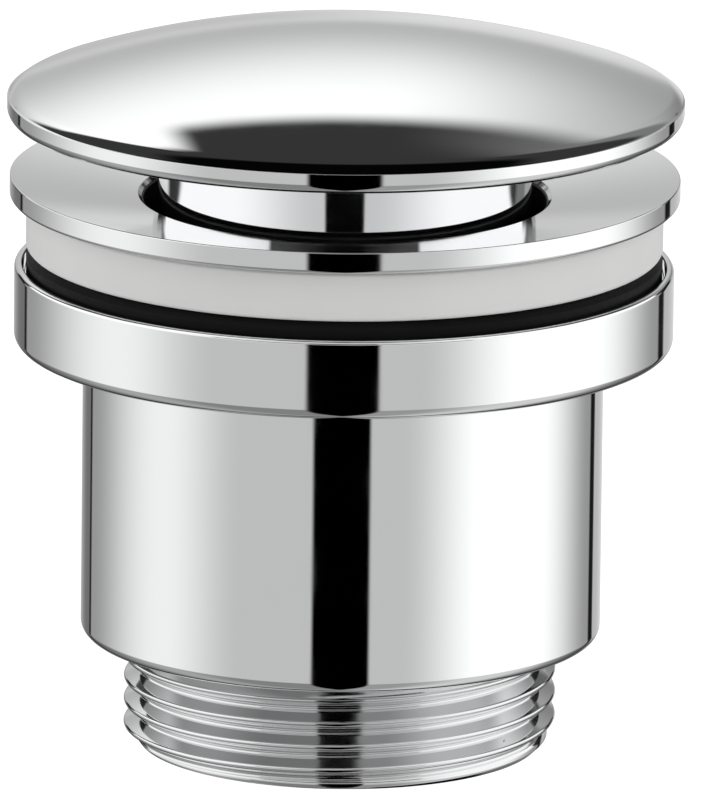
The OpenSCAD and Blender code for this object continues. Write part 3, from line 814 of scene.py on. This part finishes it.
# %% [markdown]
# Chrome shows its surroundings, so the studio matters as much as the metal. Soft boxes
# and black cards could stand round the part as lamps and planes, but painted into the
# world they give less noise and cast no stray shadows. The world's colour depends on
# the direction only: the angle round from the front, and the height above the table.
# A soft box stands at each side, the right one brighter. A narrow gap behind each
# draws the dark line near the outline of every wall, and below they fade to the table.

# %% Studio: the sides
world = bpy.data.worlds.new("studio")
bpy.context.scene.world = world
world.use_nodes = True
w = Graph(world.node_tree)
way = w.node("ShaderNodeSeparateXYZ")
w.put(way.inputs[0], w.node("ShaderNodeTexCoord").outputs["Generated"])
x, y, z = way.outputs
around_deg = w.math("DEGREES", w.math("ARCTAN2", x, w.math("MULTIPLY", y, -1.0)))
off_front = w.math("ABSOLUTE", around_deg)
height_deg = w.math("DEGREES", w.math("ARCSINE", z))


def side(front, rise, rise_end, peak, fall, fall_end, back, slit, slit_half, behind, far):
    """Light of one side by the angle from the front, in degrees, and the gap behind it."""
    level = w.mix(w.smooth(off_front, rise, rise_end), front, peak)
    level = w.mix(w.smooth(off_front, fall, fall_end), level, back)
    beyond_slit = w.smooth(off_front, slit + 6, 180, behind, far)
    level = w.mix(w.smooth(off_front, slit - 1, slit + 2), level, beyond_slit)
    near = w.math("ABSOLUTE", w.math("SUBTRACT", off_front, slit))
    near = w.math("SUBTRACT", near, w.smooth(height_deg, -55, -30, 7.0, 0.0))
    near = w.math("SUBTRACT", near, w.smooth(height_deg, -8, 2, 0.0, 6.5))
    return level, w.smooth(near, slit_half, slit_half + 2.2, 0.03, 1.0)


left, left_slit = side(
    front=0.56, rise=44, rise_end=84, peak=0.95, fall=88, fall_end=144, back=0.33,
    slit=148.2, slit_half=0.4, behind=0.17, far=0.55)
right, right_slit = side(
    front=0.56, rise=26, rise_end=68, peak=1.15, fall=96, fall_end=142, back=0.32,
    slit=147.5, slit_half=2.2, behind=0.5, far=0.75)
low_light = w.mix(w.smooth(x, -0.03, 0.03), left, right)
slit = w.mix(w.smooth(x, -0.03, 0.03), left_slit, right_slit)

floor_light = w.mix(w.smooth(x, -0.1, 0.1), 0.42, w.smooth(off_front, 84, 116, 0.58, 0.32))
low_light = w.math("MULTIPLY", low_light, w.smooth(height_deg, -21, -14.6, floor_light, 1.0))
print("sides made of", len(world.node_tree.nodes), "nodes")

# %% [markdown]
# Far behind, a panel rises from a grey horizon to a bright edge and ends under a dark
# ceiling, which the dome shows as its soft black patch and its rim as a black line.
# The ceiling leaves light in front and at both sides, where the sleeve and the flanks
# of the thread look.

# %% Studio: behind and above
CEILING_SLOPE, CEILING_BOW, CEILING_LIGHT = 0.925, 2.2, 0.036
horizon = w.smooth(height_deg, 2, 8, 1.3, 1.0)
panel = w.math("MULTIPLY", w.smooth(height_deg, 8, 38, 0.5, 1.12), horizon)
panel = w.math("MULTIPLY", panel, w.smooth(x, 0.03, 0.27, 1.0, 0.5))
across = w.math("POWER", x, 2.0)
bow = w.math("SUBTRACT", CEILING_SLOPE, w.math("MULTIPLY", across, CEILING_BOW))
over_edge = w.math("SUBTRACT", z, w.math("MULTIPLY", y, bow))
ceiling_glow = w.math("MULTIPLY", w.smooth(x, 0.04, 0.3, 0.0, 0.16), w.smooth(y, 0.62, 0.7))
overhead = w.smooth(height_deg, 54, 62, 1.0, 0.04)
ceiling = w.math("MULTIPLY", w.math("ADD", ceiling_glow, CEILING_LIGHT), overhead)
patch = w.smooth(over_edge, w.smooth(x, 0.0, 0.25, -0.055, -0.12), 0.04)
patch = w.math("MULTIPLY", patch, w.smooth(x, -0.19, -0.155))
beyond = w.math("MAXIMUM", patch, w.smooth(y, 0.71, 0.66))
beyond = w.math("MAXIMUM", beyond, w.smooth(off_front, 150, 142))
high_light = w.mix(beyond, panel, ceiling)
drop = w.math("MULTIPLY", w.math("MAXIMUM", w.math("SUBTRACT", off_front, 112.0), 0.0), 0.8)
below_ceiling = w.smooth(w.math("ADD", height_deg, drop), 40, 36)
front_sky = w.math("MULTIPLY", w.smooth(off_front, 152, 142), below_ceiling)
over_front = w.smooth(w.math("SUBTRACT", y, w.math("MULTIPLY", across, 0.9)), -0.3, -0.38)
over_sides = w.smooth(w.math("ABSOLUTE", x), 0.7, 0.78)
front_sky = w.math("MAXIMUM", front_sky, w.math("MAXIMUM", over_front, over_sides))
high_light = w.mix(front_sky, high_light, w.smooth(off_front, 15, 78, 0.66, 1.15))
light = w.mix(w.smooth(height_deg, -3, 7), low_light, high_light)
light = w.math("MULTIPLY", light, w.mix(w.smooth(height_deg, 14, 10), 1.0, slit))
print("room made of", len(world.node_tree.nodes), "nodes")

# %% [markdown]
# Black cards in front draw the dark marks. A tall flag under the camera gives the
# stripe down every wall; it narrows below to a rounded end. A short card of the same
# width hangs above it for the foot of the sleeve. Between them a wide dark card is
# seen only in the front of the dish, as a dark lens under the sleeve.

# %% Studio: the cards in front
FLAG_HALF, FLAG_STRAIGHT_TO, FLAG_END, LENS_HALF = 12.6, -22.0, 62.0, 47.5
below = w.math("SUBTRACT", FLAG_STRAIGHT_TO, height_deg)
down = w.math("MAXIMUM", w.math("DIVIDE", below, FLAG_END), 0.0)
inside = w.math("SUBTRACT", 1.0, w.math("POWER", down, 2.0))
half = w.math("SQRT", w.math("MAXIMUM", inside, 0.0))
edge = w.math("SUBTRACT", off_front, w.math("MULTIPLY", half, FLAG_HALF))
card = w.math("MULTIPLY", w.smooth(height_deg, 23, 25), w.smooth(height_deg, 37, 35))
cover = w.math("MAXIMUM", w.smooth(height_deg, 9, 6), card)
light = w.math("MULTIPLY", light, w.mix(cover, 1.0, w.smooth(edge, -1.0, 1.0)))
lens = w.math("MULTIPLY", w.smooth(height_deg, 15, 17), w.smooth(height_deg, 26, 24))
lens = w.math("MULTIPLY", lens, w.smooth(off_front, LENS_HALF + 1.5, LENS_HALF - 1.5))
light = w.math("MULTIPLY", light, w.mix(lens, 1.0, w.smooth(off_front, 8, 40, 0.0, 0.06)))
w.put(world.node_tree.nodes["Background"].inputs["Color"], light)
world.node_tree.nodes["Background"].inputs["Strength"].default_value = 1.0
print("studio made of", len(world.node_tree.nodes), "nodes")

# %% [markdown]
# The floor is plain and pale. Reflections do not see it, because in the studio the
# chrome looks past it to the soft boxes, and from below it is clear. Two soft lamps
# light the rubber and the floor and stay out of the reflections too.

# %% Floor and lamps
FLOOR_HALF = 3
corners = [(x_sign * FLOOR_HALF, y_sign * FLOOR_HALF, 0)
           for x_sign, y_sign in ((-1, -1), (1, -1), (1, 1), (-1, 1))]
floor_mesh = bpy.data.meshes.new("floor")
floor_mesh.from_pydata(corners, [], [[0, 1, 2, 3]])
floor = bpy.data.objects.new("floor", floor_mesh)
bpy.context.scene.collection.objects.link(floor)
floor.visible_glossy = False
paint = bpy.data.materials.new("pale floor")
paint.use_nodes = True
f = Graph(paint.node_tree)
shader = paint.node_tree.nodes["Principled BSDF"]
shader.inputs["Base Color"].default_value = (0.9, 0.9, 0.9, 1)
shader.inputs["Roughness"].default_value = 0.9
shader.inputs["Specular IOR Level"].default_value = 0.0
shader.inputs["Emission Color"].default_value = (1, 1, 1, 1)
shader.inputs["Emission Strength"].default_value = 0.72
clear = f.node("ShaderNodeBsdfTransparent")
either = f.node("ShaderNodeMixShader")
f.put(either.inputs[0], f.node("ShaderNodeNewGeometry").outputs["Backfacing"])
f.put(either.inputs[1], shader.outputs[0])
f.put(either.inputs[2], clear.outputs[0])
f.put(paint.node_tree.nodes["Material Output"].inputs["Surface"], either.outputs[0])
floor_mesh.materials.append(paint)


LAMP_AIM, LAMP_SIZE = Vector((0, 0, 0.04)), 0.6


def lamp(name, place, watts):
    """A square soft lamp that faces the part and stays out of the reflections."""
    data = bpy.data.lights.new(name, "AREA")
    data.size, data.energy = LAMP_SIZE, watts
    obj = bpy.data.objects.new(name, data)
    bpy.context.scene.collection.objects.link(obj)
    obj.location = place
    obj.rotation_euler = (LAMP_AIM - Vector(place)).to_track_quat("-Z", "Y").to_euler()
    obj.visible_glossy = False


lamp("left_lamp", (-0.7, -0.7, 0.5), 0.2)
lamp("right_lamp", (0.7, -0.6, 0.5), 0.9)
print("floor and lamps stand")

# %% [markdown]
# The camera stands where the photographer stood: about two metres off with a long
# lens, fourteen degrees above the table, and tipped by a hair to the left.

# %% Camera
camera_data = bpy.data.cameras.new("camera")
camera = bpy.data.objects.new("camera", camera_data)
bpy.context.scene.collection.objects.link(camera)
DISTANCE, ELEVATION, ROLL = 2000.0, math.radians(13.9), math.radians(0.65)
PIXELS_A_MM, PICTURE_W, SENSOR_W = 10.33, 702, 36.0
aim = Vector((0.8, 0, 33.8)) * MM
away = Vector((0, -math.cos(ELEVATION), math.sin(ELEVATION)))
turn = (-away).to_track_quat("-Z", "Y").to_matrix().to_4x4() @ Matrix.Rotation(ROLL, 4, "Z")
camera.matrix_world = Matrix.Translation(aim + away * DISTANCE * MM) @ turn
camera_data.sensor_fit = "HORIZONTAL"
camera_data.sensor_width = SENSOR_W
camera_data.lens = PIXELS_A_MM * DISTANCE * SENSOR_W / PICTURE_W
bpy.context.scene.camera = camera
bpy.context.scene.view_settings.view_transform = "Standard"
print("lens %.0f mm" % camera_data.lens)

# %% [markdown]
# Each CAD piece that a new one stands for was hidden when the new one was made.

# %% Finish
print("pieces dressed")
